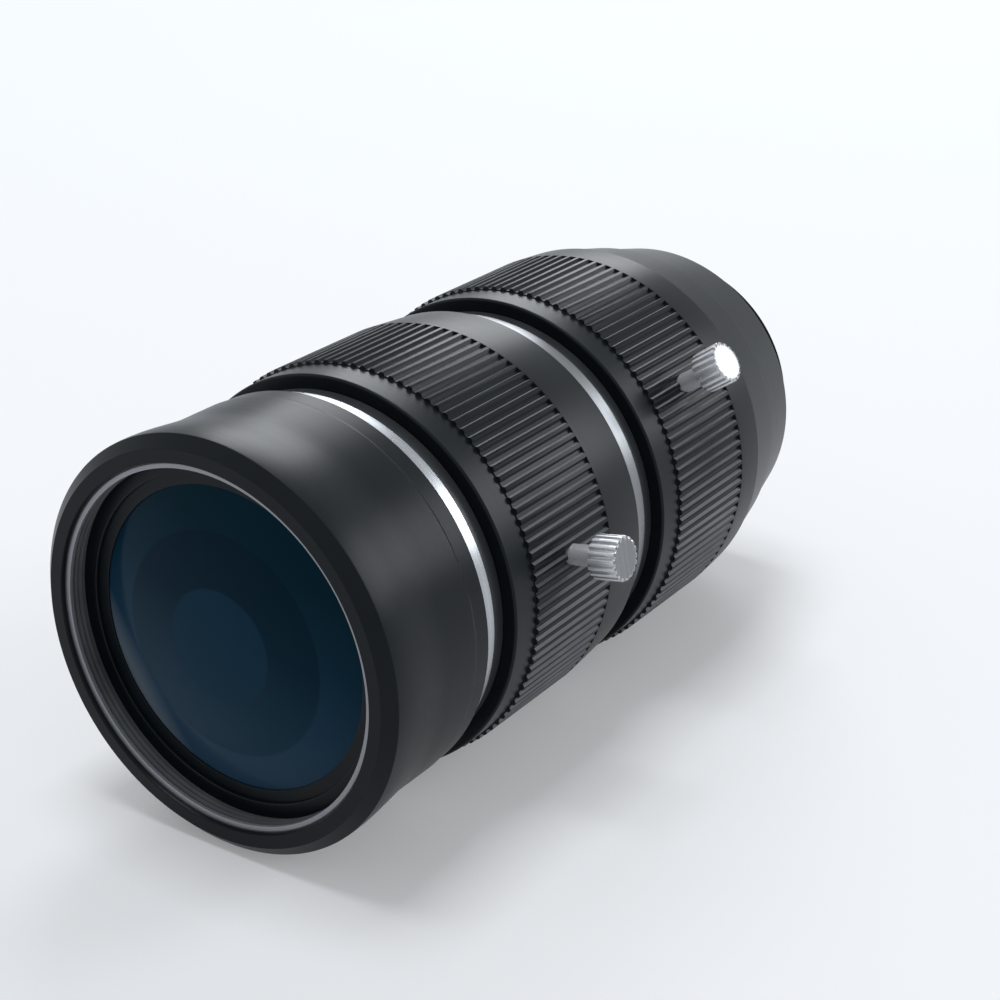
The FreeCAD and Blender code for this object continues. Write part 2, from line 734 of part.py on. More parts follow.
def make_mount_barrel():
    """Tapered rear barrel with the flange face and the mount's thread."""
    top_h = mount_joint_h + spigot_len
    return turned([
        (mount_front_r, mount_joint_h), (mount_rear_r, mount_edge), (mount_rear_r - mount_edge, 0),
        (mount_thread_r, 0), (mount_thread_r, mount_thread_edge - mount_thread_len),
        (mount_thread_r - mount_thread_edge, -mount_thread_len), (mount_bore_r, -mount_thread_len),
        (mount_bore_r, mount_floor_h), (mount_chamber_r, mount_floor_h), (mount_chamber_r, top_h),
        (spigot_r, top_h), (spigot_r, mount_joint_h),
    ])


def make_all():
    """Every piece by its node's name."""
    pieces = {
        "front_barrel": make_front_barrel(),
        "front_trim_ring": make_front_trim_ring(),
        "front_retaining_ring": make_front_retaining_ring(),
        "front_element": make_front_element(),
        "front_cell": make_front_cell(),
        "front_cell_ring": make_front_cell_ring(),
        "front_pair_crown": make_front_pair_crown(),
        "front_pair_flint": make_front_pair_flint(),
        "optical_sleeve": make_optical_sleeve(),
        "focus_drive_pins": make_focus_drive_pins(),
        "iris_housing": make_iris_housing(),
        "iris_cap": make_iris_cap(),
        "iris_cam": make_iris_cam(),
        "iris_drive_pin": make_iris_drive_pin(),
        "rear_cell": make_rear_cell(),
        "rear_pair_flint": make_rear_pair_flint(),
        "rear_pair_crown": make_rear_pair_crown(),
        "rear_spacer": make_rear_spacer(),
        "rear_element": make_rear_element(),
        "rear_retaining_ring": make_rear_retaining_ring(),
        "main_body": make_main_body(),
        "focus_retaining_ring": make_focus_retaining_ring(),
        "focus_washer": make_focus_washer(),
        "iris_retaining_ring": make_iris_retaining_ring(),
        "iris_washer": make_iris_washer(),
        "focus_ring": make_focus_ring(),
        "iris_ring": make_iris_ring(),
        "focus_thumb_screw": make_thumb_screw(focus_screw_h, focus_screw_deg),
        "iris_thumb_screw": make_thumb_screw(iris_screw_h, iris_screw_deg),
        "mount_barrel": make_mount_barrel(),
    }
    for index in range(blade_count):
        pieces[f"iris_blade_{index + 1}"] = make_blade(index)
    return pieces


def place(shape):
    """Lay the optical axis along Y with the front towards -Y."""
    shape.rotate(ORIGIN, V(1, 0, 0), 90)
    return shape


os.makedirs("parts", exist_ok=True)
for name, shape in make_all().items():
    place(shape).exportStep(f"parts/{name}.step")
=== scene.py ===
import json
import math

import bmesh
import bpy
from mathutils import Matrix, Vector

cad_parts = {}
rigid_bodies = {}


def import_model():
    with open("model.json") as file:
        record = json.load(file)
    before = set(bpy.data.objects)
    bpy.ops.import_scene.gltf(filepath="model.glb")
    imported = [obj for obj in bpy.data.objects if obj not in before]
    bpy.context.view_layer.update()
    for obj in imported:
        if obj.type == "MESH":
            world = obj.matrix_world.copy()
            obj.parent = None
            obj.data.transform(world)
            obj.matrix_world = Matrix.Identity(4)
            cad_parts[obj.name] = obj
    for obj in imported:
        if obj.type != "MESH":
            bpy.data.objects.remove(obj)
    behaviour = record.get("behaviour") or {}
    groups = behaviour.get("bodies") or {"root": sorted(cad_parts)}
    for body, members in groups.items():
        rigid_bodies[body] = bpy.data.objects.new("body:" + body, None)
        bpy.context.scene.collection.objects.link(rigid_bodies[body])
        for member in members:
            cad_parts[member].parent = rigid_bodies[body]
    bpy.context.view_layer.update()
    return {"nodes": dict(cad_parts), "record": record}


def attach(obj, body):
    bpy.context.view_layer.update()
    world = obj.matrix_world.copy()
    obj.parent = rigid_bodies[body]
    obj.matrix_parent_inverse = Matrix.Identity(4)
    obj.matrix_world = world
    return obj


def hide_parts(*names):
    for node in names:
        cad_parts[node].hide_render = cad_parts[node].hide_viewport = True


for leftover in list(bpy.data.objects):
    bpy.data.objects.remove(leftover)

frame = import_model()
nodes = frame["nodes"]
scene = bpy.context.scene

# Profiles are in mm: a radius from the optical axis and a height in front of the flange.
MM = 0.001
SEGMENTS = 232
EVEN_ANGLES = [360.0 * k / SEGMENTS for k in range(SEGMENTS)]
SHARP_DEG = 40.0

# Points of one mesh that lie nearer than this, in metres, become one.
WELD = 1e-7

# A profile's corner is rounded by EDGE, unless it carries a size of its own as a third value.
# A round takes no more than EDGE_LIMIT of the lines beside it, and its holding points lie
# EDGE_HOLD times as far from the corner as its ends. Corners flatter than STRAIGHT_DEG stay.
EDGE = 0.07
EDGE_STEPS = 3
EDGE_LIMIT = 0.3
EDGE_HOLD = 1.6
STRAIGHT_DEG = 170.0


# Mesh helpers

def spot(r, degrees, h):
    """Point at a radius, an angle from +X and a height in front of the flange."""
    turn = math.radians(degrees)
    return Vector((r * math.cos(turn), -h, r * math.sin(turn))) * MM


def eased(corners, closed=True):
    """Profile whose sharp corners become small rounds between two holding points.

    A corner's own size of 0 keeps it sharp.
    """
    points = [Vector(corner[:2]) for corner in corners]
    count = len(points)
    out = []
    for k, point in enumerate(points):
        size = corners[k][2] if len(corners[k]) > 2 else EDGE
        inner = closed or 0 < k < count - 1
        before = points[k - 1] - point
        after = points[(k + 1) % count] - point
        if not inner or size == 0 or before.angle(after) > math.radians(STRAIGHT_DEG):
            out.append(tuple(point))
            continue
        reach = min(size, before.length * EDGE_LIMIT, after.length * EDGE_LIMIT)
        start = point + before.normalized() * reach
        end = point + after.normalized() * reach
        out.append(tuple(point + before.normalized() * reach * EDGE_HOLD))
        for step in range(EDGE_STEPS + 1):
            t = step / EDGE_STEPS
            out.append(tuple(start * (1 - t) ** 2 + point * 2 * t * (1 - t) + end * t ** 2))
        out.append(tuple(point + after.normalized() * reach * EDGE_HOLD))
    return out


def soft_step(r_start, r_end, h_start, h_end, steps=14):
    """Points of a soft S between two radii, without its two ends."""
    points = []
    for step in range(1, steps):
        t = step / steps
        share = t * t * (3 - 2 * t)
        points.append((r_start + (r_end - r_start) * share, h_start + (h_end - h_start) * t))
    return points


def dome(apex_h, curve, r_edge, steps):
    """Points of a spherical surface from the axis outward."""
    points = []
    for step in range(steps + 1):
        r = r_edge * step / steps
        points.append((r, apex_h - (curve - math.sqrt(curve * curve - r * r))))
    return points


def lathe(name, profile_at, angles, closed=True, place=spot, sharp=SHARP_DEG):
    """Mesh turned about an axis. profile_at gives the profile for the column of an angle's index."""
    grid = [[place(r, degrees, h) for r, h in profile_at(k)] for k, degrees in enumerate(angles)]
    rows = len(grid[0])
    vertices = [point for column in grid for point in column]
    faces = []
    for k in range(len(angles)):
        here = k * rows
        there = (k + 1) % len(angles) * rows
        for row in range(rows if closed else rows - 1):
            up = (row + 1) % rows
            faces.append((here + row, here + up, there + up, there + row))
    mesh = bpy.data.meshes.new(name)
    mesh.from_pydata(vertices, [], faces)
    work = bmesh.new()
    work.from_mesh(mesh)
    bmesh.ops.remove_doubles(work, verts=work.verts, dist=WELD)
    bmesh.ops.recalc_face_normals(work, faces=work.faces)
    work.to_mesh(mesh)
    work.free()
    mesh.polygons.foreach_set("use_smooth", [True] * len(mesh.polygons))
    mesh.set_sharp_from_angle(angle=math.radians(sharp))
    piece = bpy.data.objects.new(name, mesh)
    scene.collection.objects.link(piece)
    return piece


def ring(name, profile, closed=True):
    return lathe(name, lambda k: profile, EVEN_ANGLES, closed)


def dress(piece, body, node, material):
    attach(piece, body)
    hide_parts(node)
    piece.data.materials.append(material)


def repaint(piece, material, wanted):
    """Give a second material to the faces that a test picks."""
    piece.data.materials.append(material)
    for face in piece.data.polygons:
        if wanted(face):
            face.material_index = 1


def face_radius(face):
    """Distance in mm of a face's middle from the optical axis."""
    return math.hypot(face.center.x, face.center.z) / MM


# Node helpers

def link(tree, source, output, target, socket):
    tree.links.new(source.outputs[output], target.inputs[socket])


def object_place(tree):
    return tree.nodes.new("ShaderNodeTexCoord").outputs["Object"]


def math_node(tree, operation, a, b=None):
    node = tree.nodes.new("ShaderNodeMath")
    node.operation = operation
    for socket, value in ((0, a), (1, b)):
        if value is None:
            continue
        if isinstance(value, (int, float)):
            node.inputs[socket].default_value = value
        else:
            tree.links.new(value, node.inputs[socket])
    return node.outputs[0]


def radius_and_depth(tree, shift=(0.0, 0.0)):
    """Radius from the optical axis, or from an axis beside it, and the place along it, in metres."""
    parts = tree.nodes.new("ShaderNodeSeparateXYZ")
    tree.links.new(object_place(tree), parts.inputs[0])
    across = math_node(tree, "SUBTRACT", parts.outputs[0], shift[0] * MM)
    upward = math_node(tree, "SUBTRACT", parts.outputs[2], shift[1] * MM)
    square = math_node(tree, "ADD", math_node(tree, "MULTIPLY", across, across),
                       math_node(tree, "MULTIPLY", upward, upward))
    return math_node(tree, "SQRT", square), parts.outputs[1]


def turned_coordinates(tree):
    """Coordinates that change only with radius and depth, as tool marks from a lathe do."""
    radius, depth = radius_and_depth(tree)
    joined = tree.nodes.new("ShaderNodeCombineXYZ")
    tree.links.new(radius, joined.inputs[0])
    tree.links.new(depth, joined.inputs[1])
    return joined.outputs[0]


def noise(tree, vector, scale, detail, roughness=0.5):
    node = tree.nodes.new("ShaderNodeTexNoise")
    node.inputs["Scale"].default_value = scale
    node.inputs["Detail"].default_value = detail
    node.inputs["Roughness"].default_value = roughness
    tree.links.new(vector, node.inputs["Vector"])
    return node.outputs["Fac"]


def ramp(tree, value, low, high, low_at=0.0, high_at=1.0):
    """A value between two places, spread between two results."""
    node = tree.nodes.new("ShaderNodeMapRange")
    node.inputs["From Min"].default_value = low_at
    node.inputs["From Max"].default_value = high_at
    node.inputs["To Min"].default_value = low
    node.inputs["To Max"].default_value = high
    tree.links.new(value, node.inputs["Value"])
    return node.outputs["Result"]


def tint(tree, value, stops):
    """Colour from a value between 0 and 1, by stops of (place, colour)."""
    node = tree.nodes.new("ShaderNodeValToRGB")
    elements = node.color_ramp.elements
    while len(elements) < len(stops):
        elements.new(0.5)
    for element, (place, colour) in zip(elements, stops):
        element.position = place
        element.color = (*colour, 1)
    tree.links.new(value, node.inputs["Fac"])
    return node.outputs["Color"]


def mix(tree, share, first, second):
    node = tree.nodes.new("ShaderNodeMix")
    node.data_type = "RGBA"
    tree.links.new(share, node.inputs[0])
    tree.links.new(first, node.inputs[6])
    tree.links.new(second, node.inputs[7])
    return node.outputs[2]


# Materials

MARK_DEPTH = 0.02 * MM
GRAIN_SCALE = 5200
CLOUD_SCALE = 260
LINE_SCALE = 2600
METAL_CLOUD_SCALE = 300
METAL_LINE_SCALE = 3400
GLASS_CLOUD_SCALE = 90
CLOUD_STOPS = (0.3, 0.7)
GRAIN_SHARE = 0.35
BOTH_NOISES = (0.6, 1.4)
GLASS_DRIFT = 0.9


def new_material(name, **values):
    """Material with the given values on its shader's sockets."""
    material = bpy.data.materials.new(name)
    material.use_nodes = True
    shader = material.node_tree.nodes["Principled BSDF"]
    for socket, value in values.items():
        shader.inputs[socket.replace("_", " ")].default_value = value
    return material, material.node_tree, shader


def shaded(tree, value, low, high):
    """Colour that drifts between two tones with a noise."""
    return tint(tree, value, ((CLOUD_STOPS[0], low), (CLOUD_STOPS[1], high)))


def bump(tree, shader, height, strength):
    node = tree.nodes.new("ShaderNodeBump")
    node.inputs["Strength"].default_value = strength
    node.inputs["Distance"].default_value = MARK_DEPTH
    tree.links.new(height, node.inputs["Height"])
    link(tree, node, "Normal", shader, "Normal")


def anodised(name, low, high, level, roughness=(0.31, 0.38), marks=0.08):
    """Satin anodised aluminium: a fine grain over faint turning marks."""
    material, tree, shader = new_material(name, Specular_IOR_Level=level)
    grain = noise(tree, object_place(tree), GRAIN_SCALE, 3, 0.6)
    cloud = noise(tree, object_place(tree), CLOUD_SCALE, 3)
    lines = noise(tree, turned_coordinates(tree), LINE_SCALE, 4, 0.65)
    tree.links.new(shaded(tree, cloud, low, high), shader.inputs["Base Color"])
    tree.links.new(ramp(tree, math_node(tree, "ADD", grain, lines), *roughness, *BOTH_NOISES),
                   shader.inputs["Roughness"])
    height = math_node(tree, "ADD", math_node(tree, "MULTIPLY", grain, GRAIN_SHARE), lines)
    bump(tree, shader, height, marks)
    return material


def turned_metal(name, low, high, roughness, marks, anisotropy=0.0, metallic=1.0):
    """Bare turned metal, brighter and darker in fine rings."""
    material, tree, shader = new_material(name, Metallic=metallic, Anisotropic=anisotropy)
    lines = noise(tree, turned_coordinates(tree), METAL_LINE_SCALE, 4, 0.7)
    cloud = noise(tree, object_place(tree), METAL_CLOUD_SCALE, 3)
    tree.links.new(shaded(tree, lines, low, high), shader.inputs["Base Color"])
    tree.links.new(ramp(tree, cloud, *roughness, *CLOUD_STOPS), shader.inputs["Roughness"])
    bump(tree, shader, lines, marks)
    if anisotropy:
        around = tree.nodes.new("ShaderNodeTangent")
        around.direction_type = "RADIAL"
        around.axis = "Y"
        link(tree, around, "Tangent", shader, "Tangent")
    return material


def clear_glass(name, colour, reflection, level):
    """Optical glass, with a coating that tints what it reflects and lets through."""
    material, tree, shader = new_material(name, Transmission_Weight=1.0, IOR=1.52, Roughness=0.0,
                                          Specular_IOR_Level=level)
    shader.inputs["Specular Tint"].default_value = (*reflection, 1)
    cloud = noise(tree, turned_coordinates(tree), GLASS_CLOUD_SCALE, 1)
    darker = tuple(share * GLASS_DRIFT for share in colour)
    tree.links.new(shaded(tree, cloud, colour, darker), shader.inputs["Base Color"])
    return material


def slant(tree, across, upward, low_at, high_at):
    """0 to 1 along a direction across the front glass, between two places in mm."""
    along = tree.nodes.new("ShaderNodeVectorMath")
    along.operation = "DOT_PRODUCT"
    tree.links.new(object_place(tree), along.inputs[0])
    along.inputs[1].default_value = (across, 0.0, upward)
    return ramp(tree, along.outputs["Value"], 0.0, 1.0, low_at * MM, high_at * MM)


def edge_share(tree, radius, r, soft=0.12):
    """0 inside a radius and 1 outside it, with a soft edge."""
    return ramp(tree, radius, 0.0, 1.0, (r - soft) * MM, (r + soft) * MM)


# The front glass shows two zones of the lenses behind it as painted reflections, each round an axis beside
# the optical one where those reflections sit.
MIDDLE_ZONE_R = 9.75
MIDDLE_ZONE_SHIFT = (-0.55, -0.45)
INNER_ZONE_R = 4.95
INNER_ZONE_SHIFT = (-0.65, -0.5)
GLASS_OUTER = ((0.0, (0.001, 0.017, 0.031)), (0.35, (0.004, 0.027, 0.051)),
               (0.65, (0.014, 0.044, 0.080)), (1.0, (0.028, 0.062, 0.106)))
GLASS_PAINTED_REFLECTION = ((0.0, (0.10, 0.14, 0.18)), (1.0, (0.12, 0.155, 0.19)))
GLASS_MIDDLE = ((0.0, (0.001, 0.012, 0.025)), (0.4, (0.002, 0.017, 0.035)),
                (0.65, (0.008, 0.031, 0.056)), (1.0, (0.016, 0.046, 0.080)))
GLASS_INNER = ((0.0, (0.004, 0.028, 0.057)), (1.0, (0.008, 0.037, 0.068)))
COATING_TINT = (0.25, 0.75, 1.0, 1)

# Directions across the glass, each with the two places in mm between which a share rises: one for painted
# light that grows downward, one for a paler painted reflection at one side.
PAINTED_LIGHT_SLANT = (-0.26, -0.97, -9.0, 9.0)
PAINTED_REFLECTION_SIDE = (-0.85, -0.53, 10.4, 12.4)


def glass_with_painted_reflections(name):
    """Coated front glass with painted reflections: dark teal zones that grow lighter downward as painted
    light, with a paler crescent at one side as a painted reflection.
    """
    material, tree, shader = new_material(name, Specular_IOR_Level=0.06, Roughness=0.10)
    shader.inputs["Specular Tint"].default_value = COATING_TINT
    middle, _ = radius_and_depth(tree, MIDDLE_ZONE_SHIFT)
    inner, _ = radius_and_depth(tree, INNER_ZONE_SHIFT)
    downward = slant(tree, *PAINTED_LIGHT_SLANT)
    crescent = slant(tree, *PAINTED_REFLECTION_SIDE)
    # The outer zone turns to the paler painted reflection towards one side.
    outer_colour = mix(tree, crescent, tint(tree, downward, GLASS_OUTER), tint(tree, downward, GLASS_PAINTED_REFLECTION))
    middle_colour = tint(tree, downward, GLASS_MIDDLE)
    inner_colour = tint(tree, downward, GLASS_INNER)
    around = mix(tree, edge_share(tree, middle, MIDDLE_ZONE_R), middle_colour, outer_colour)
    tree.links.new(mix(tree, edge_share(tree, inner, INNER_ZONE_R), inner_colour, around),
                   shader.inputs["Base Color"])
    return material


black = anodised("black_anodised", (0.0036, 0.0062, 0.0088), (0.0052, 0.0084, 0.0114), 0.15)
grip_black = anodised("grip_black", (0.0040, 0.0066, 0.0092), (0.0058, 0.0090, 0.0120), 0.16)
# Painted highlight: a lighter copy of the black anodising, put on the ribs' flanks that look towards larger
# angles in place of the light they would catch.
flank_painted_highlight = anodised("flank_painted_highlight", (0.14, 0.148, 0.156), (0.19, 0.20, 0.21), 0.15, (0.34, 0.42))
# Painted reflection: a lighter grey copy of the black anodising for the mouth's wall, whose lower part it
# brightens in place of a reflection.
mouth_painted_reflection = anodised("mouth_painted_reflection", (0.10, 0.105, 0.11), (0.14, 0.147, 0.154), 0.15, (0.33, 0.42))
inner_black = anodised("inner_black", (0.005, 0.006, 0.007), (0.008, 0.009, 0.010), 0.12, (0.5, 0.62), 0.10)
# The washers' dark grey is partly their own tone and partly painted light: its base is raised in place of
# the reflection that the rings beside them shade off.
washer_tone_and_painted_sheen = anodised("washer_tone_and_painted_sheen", (0.030, 0.033, 0.036), (0.042, 0.046, 0.050), 0.50, (0.30, 0.38))
bright = turned_metal("bright_ring", (0.38, 0.40, 0.42), (0.48, 0.50, 0.52), (0.24, 0.32), 0.12,
                      anisotropy=0.4, metallic=0.75)
# The iris band's metal: the bright ring's metal at about half its brightness, a little rougher.
darker_band_metal = turned_metal("darker_band_ring", (0.19, 0.20, 0.21), (0.25, 0.26, 0.27), (0.26, 0.34), 0.12,
                           anisotropy=0.4, metallic=0.75)
trim_metal = turned_metal("trim_metal", (0.28, 0.29, 0.31), (0.34, 0.35, 0.37), (0.36, 0.44), 0.06,
                          metallic=0.35)
# Painted highlight: a pale copy of the screw steel, half diffuse, for the shank and the head's side, which
# it lights white in place of the reflections that the rings shade off.
screw_body_painted_highlight = turned_metal("screw_body_painted_highlight", (0.66, 0.67, 0.69), (0.76, 0.77, 0.79), (0.22, 0.30), 0.05,
                          metallic=0.45)
screw_metal = turned_metal("screw_metal", (0.20, 0.21, 0.22), (0.26, 0.27, 0.28), (0.16, 0.22), 0.05,
                           metallic=0.85)
brass = turned_metal("brass_pin", (0.62, 0.45, 0.2), (0.75, 0.58, 0.28), (0.25, 0.35), 0.1, anisotropy=0.2)
blade_metal = turned_metal("blade_metal", (0.03, 0.03, 0.033), (0.05, 0.05, 0.055), (0.42, 0.52), 0.05,
                           anisotropy=0.3)
front_glass = glass_with_painted_reflections("front_glass")
rear_glass = clear_glass("rear_glass", (0.22, 0.50, 0.66), (0.35, 0.7, 1.0), 0.25)
inner_glass = clear_glass("inner_glass", (0.55, 0.78, 0.88), (0.3, 0.7, 1.0), 0.15)

node_materials = {
    "black_anodised": black,
    "bright_metal": bright,
    "grey_metal": washer_tone_and_painted_sheen,
    "screw_steel": screw_metal,
    "brass": brass,
    "blade_steel": blade_metal,
    "coated_glass": rear_glass,
    "inner_glass": inner_glass,
}
slot_of = {entry["node"]: entry["material_slot"] for entry in frame["record"]["subparts"]}
hidden_inside = ("front_cell", "front_cell_ring", "optical_sleeve", "iris_housing", "iris_cap", "iris_cam",
                 "rear_cell", "rear_spacer", "rear_retaining_ring")
for name, node in nodes.items():
    material = inner_black if name in hidden_inside else node_materials[slot_of[name]]
    for slot in node.material_slots:
        slot.material = material


# Front barrel

FRONT_H = 70.0
MOUTH_R = 15.76
FACE_R = 16.9
RIM_R = 17.9
RIM_EDGE_R = 17.88
RIM_EDGE_H = 69.08
RIM_REAR_H = 68.7
FLARE_FRONT_H = 68.5
FLARE_REAR_H = 62.0
BARREL_R = 17.4
LINE_FRONT_H = 58.3
LINE_REAR_H = 58.05
BARREL_REAR_R = 17.28
BARREL_REAR_H = 56.25
REAR_BEVEL = 0.15
SLEEVE_SEAT_R = 14.25
SLEEVE_SEAT_H = 62.0
BARREL_WEB_R = 12.6
WEB_FRONT_H = 63.2
GLASS_SEAT_R = 13.62
KEEPER_REAR_H = 65.5
KEEPER_SEAT_R = 14.13
SEAT_MIDDLE_H = 66.5
SHOULDER_H = 67.6
RELIEF_R = 15.43
RELIEF_FRONT_H = 68.2
FILTER_R = 15.18
FILTER_FRONT_H = 69.17
FILTER_RIDGES = 2
RIDGE_DEPTH = 0.10
TRIM_R = 15.6
TRIM_FRONT_H = 69.57
MOUTH_SEAT_H = 69.65

# Points along one ridge: the place in shares of the pitch, and the depth in shares of the groove's.
RIDGE = ((0.12, 0.0), (0.45, 1.0), (0.62, 1.0), (0.92, 0.0))


def thread_wall(r, h_low, h_high, ridges, depth):
    """Saw-tooth wall of a fine inner thread, without its two ends."""
    pitch = (h_high - h_low) / ridges
    return [(r + depth * share, h_low + ridge * pitch + place * pitch)
            for ridge in range(ridges) for place, share in RIDGE]


def barrel_profile():
    rim = eased([
        (TRIM_R, MOUTH_SEAT_H), (MOUTH_R, FRONT_H, 0.05), (FACE_R, FRONT_H, 0.03),
        (RIM_EDGE_R, RIM_EDGE_H, 0.05), (RIM_R, RIM_REAR_H, 0.2),
    ], closed=False)
    flare = soft_step(RIM_R, BARREL_R, FLARE_FRONT_H, FLARE_REAR_H)
    side = eased([
        (BARREL_R, FLARE_REAR_H - 0.2), (BARREL_R, LINE_FRONT_H, 0.05), (BARREL_REAR_R, LINE_REAR_H, 0.05),
        (BARREL_REAR_R, BARREL_REAR_H + REAR_BEVEL), (BARREL_REAR_R - REAR_BEVEL, BARREL_REAR_H),
        (SLEEVE_SEAT_R, BARREL_REAR_H),
    ], closed=False)
    inside = [
        (SLEEVE_SEAT_R, SLEEVE_SEAT_H), (BARREL_WEB_R, SLEEVE_SEAT_H), (BARREL_WEB_R, WEB_FRONT_H),
        (GLASS_SEAT_R, WEB_FRONT_H), (GLASS_SEAT_R, KEEPER_REAR_H), (KEEPER_SEAT_R, KEEPER_REAR_H),
    ]
    mouth = eased([
        (KEEPER_SEAT_R, SEAT_MIDDLE_H), (KEEPER_SEAT_R, SHOULDER_H, 0.09), (RELIEF_R, SHOULDER_H, 0.05),
        (RELIEF_R, RELIEF_FRONT_H, 0.04), (FILTER_R, RELIEF_FRONT_H),
    ], closed=False)
    thread = thread_wall(FILTER_R, RELIEF_FRONT_H, FILTER_FRONT_H, FILTER_RIDGES, RIDGE_DEPTH)
    trim_seat = [(FILTER_R, FILTER_FRONT_H), (TRIM_R, FILTER_FRONT_H)]
    return rim + flare + side + inside + mouth + thread + trim_seat


def in_mouth(face):
    return -face.center.y / MM > SHOULDER_H + 0.02 and face_radius(face) < TRIM_R + 0.02


barrel_shell = ring("front_barrel_shell", barrel_profile())
dress(barrel_shell, "optical_unit", "front_barrel", black)
# The mouth's wall gets the lighter grey copy of the black, a painted reflection.
repaint(barrel_shell, mouth_painted_reflection, in_mouth)

# Bright ring, retaining ring and glass in the front barrel

KEEPER_FRONT_H = 67.25
KEEPER_BORE_R = 13.1
KEEPER_LIP_H = 67.12
KEEPER_STEP_H = 67.1
GLASS_R = 13.6
GLASS_APEX_H = 68.05
GLASS_CURVE = 90.0
GLASS_REAR_H = 62.8
GLASS_REAR_CURVE = 200.0

trim_profile = eased([
    (FILTER_R, FILTER_FRONT_H), (TRIM_R, FILTER_FRONT_H), (TRIM_R, TRIM_FRONT_H),
    (FILTER_R, TRIM_FRONT_H, 0.06),
])
dress(ring("front_trim", trim_profile), "optical_unit", "front_trim_ring", trim_metal)

keeper_profile = eased([
    (KEEPER_BORE_R, KEEPER_LIP_H, 0.03), (KEEPER_BORE_R, KEEPER_FRONT_H, 0.03),
    (KEEPER_SEAT_R, KEEPER_FRONT_H, 0), (KEEPER_SEAT_R, KEEPER_REAR_H, 0), (GLASS_SEAT_R, KEEPER_REAR_H, 0),
    (GLASS_SEAT_R, KEEPER_STEP_H, 0),
])
dress(ring("front_keeper", keeper_profile), "optical_unit", "front_retaining_ring", black)

glass_front = dome(GLASS_APEX_H, GLASS_CURVE, GLASS_R, 24)
glass_rear = [(r, 2 * GLASS_REAR_H - h) for r, h in dome(GLASS_REAR_H, GLASS_REAR_CURVE, GLASS_R, 12)]
dress(ring("front_glass", glass_front + glass_rear[::-1], closed=False), "optical_unit", "front_element",
      front_glass)

# Bands and washers on the body, and the body with its skirt

BODY_R = 15.9
BODY_BORE_R = 14.3
BODY_FRONT_H = 56.05
BAND_R = 16.63
WASHER_R = 16.44
SKIRT_FRONT_H = 11.45
SKIRT_FRONT_R = 17.6
SKIRT_REAR_R = 16.5
SKIRT_REAR_H = 6.5
SPIGOT_R = 15.4
SPIGOT_H = 10.5


def collar(name, node, r, h_low, h_high, front_edge, material):
    """Plain ring on the body's tube."""
    profile = eased([(BODY_R, h_low, 0), (r, h_low), (r, h_high, front_edge), (BODY_R, h_high, 0)])
    dress(ring(name, profile), "mount", node, material)


collar("focus_band", "focus_retaining_ring", BAND_R, 54.55, BODY_FRONT_H, 0.12, bright)
# The iris band takes the bright ring's metal at about half its brightness.
collar("iris_band", "iris_retaining_ring", BAND_R, 30.95, 33.1, 0.12, darker_band_metal)
# The washers' collars take the dark grey that is partly painted light.
collar("focus_collar", "focus_washer", WASHER_R, 53.05, 54.55, EDGE, washer_tone_and_painted_sheen)
collar("iris_collar", "iris_washer", WASHER_R, 29.55, 30.95, EDGE, washer_tone_and_painted_sheen)

body_profile = eased([
    (BODY_BORE_R, BODY_FRONT_H, 0), (BODY_R, BODY_FRONT_H), (BODY_R, SKIRT_FRONT_H, 0),
    (SKIRT_FRONT_R, SKIRT_FRONT_H, 0.06), (SKIRT_REAR_R, SKIRT_REAR_H, 0.08), (SPIGOT_R, SKIRT_REAR_H, 0),
    (SPIGOT_R, SPIGOT_H, 0), (BODY_BORE_R, SPIGOT_H, 0),
])
dress(ring("body_tube", body_profile), "mount", "main_body", black)

# Rear mount with its thread of 32 turns per inch

THREAD_R = 12.7
THREAD_PITCH = 25.4 / 32
THREAD_DEPTH = 0.43
THREAD_ROWS = 52
THREAD_FRONT_H = -0.15
THREAD_REAR_H = -3.7
THREAD_STEP = (THREAD_REAR_H - THREAD_FRONT_H) / THREAD_ROWS
THREAD_FADE = 0.3
GROOVE_WIDTH = 1.25
GROOVE_SLOPE = 3.2
CONE_FRONT_R = 16.35
CONE_REAR_R = 14.85
FLANGE_BEVEL = 0.12
MOUNT_REAR_H = -4.0
MOUNT_REAR_R = 12.3
MOUNT_BORE_R = 11.2
CHAMBER_R = 13.0
CHAMBER_H = 2.5


def thread_cut(h, degrees):
    """Depth of the thread's groove below its crest at a place on the wall."""
    turn = (h / THREAD_PITCH - degrees / 360.0) % 1.0
    flank = min(1.0, max(0.0, GROOVE_WIDTH - abs(turn - 0.5) * GROOVE_SLOPE))
    fade = min(1.0, (THREAD_FRONT_H - h) / THREAD_FADE, (h - THREAD_REAR_H) / THREAD_FADE)
    return THREAD_DEPTH * flank * max(0.0, fade)


thread_rows = [THREAD_FRONT_H + THREAD_STEP * k for k in range(THREAD_ROWS + 1)]
mount_front = eased([
    (SPIGOT_R, SKIRT_REAR_H), (CONE_FRONT_R, SKIRT_REAR_H, 0.08), (CONE_REAR_R, FLANGE_BEVEL, 0.04),
    (CONE_REAR_R - FLANGE_BEVEL, 0.0, 0.04), (THREAD_R, 0.0),
], closed=False)
mount_rear = [
    (MOUNT_REAR_R, MOUNT_REAR_H), (MOUNT_BORE_R, MOUNT_REAR_H), (MOUNT_BORE_R, CHAMBER_H),
    (CHAMBER_R, CHAMBER_H), (CHAMBER_R, SPIGOT_H), (SPIGOT_R, SPIGOT_H),
]


def mount_column(k):
    threads = [(THREAD_R - thread_cut(h, EVEN_ANGLES[k]), h) for h in thread_rows]
    return mount_front + threads + mount_rear


dress(lathe("rear_mount", mount_column, EVEN_ANGLES), "mount", "mount_barrel", black)

# Knurled rings

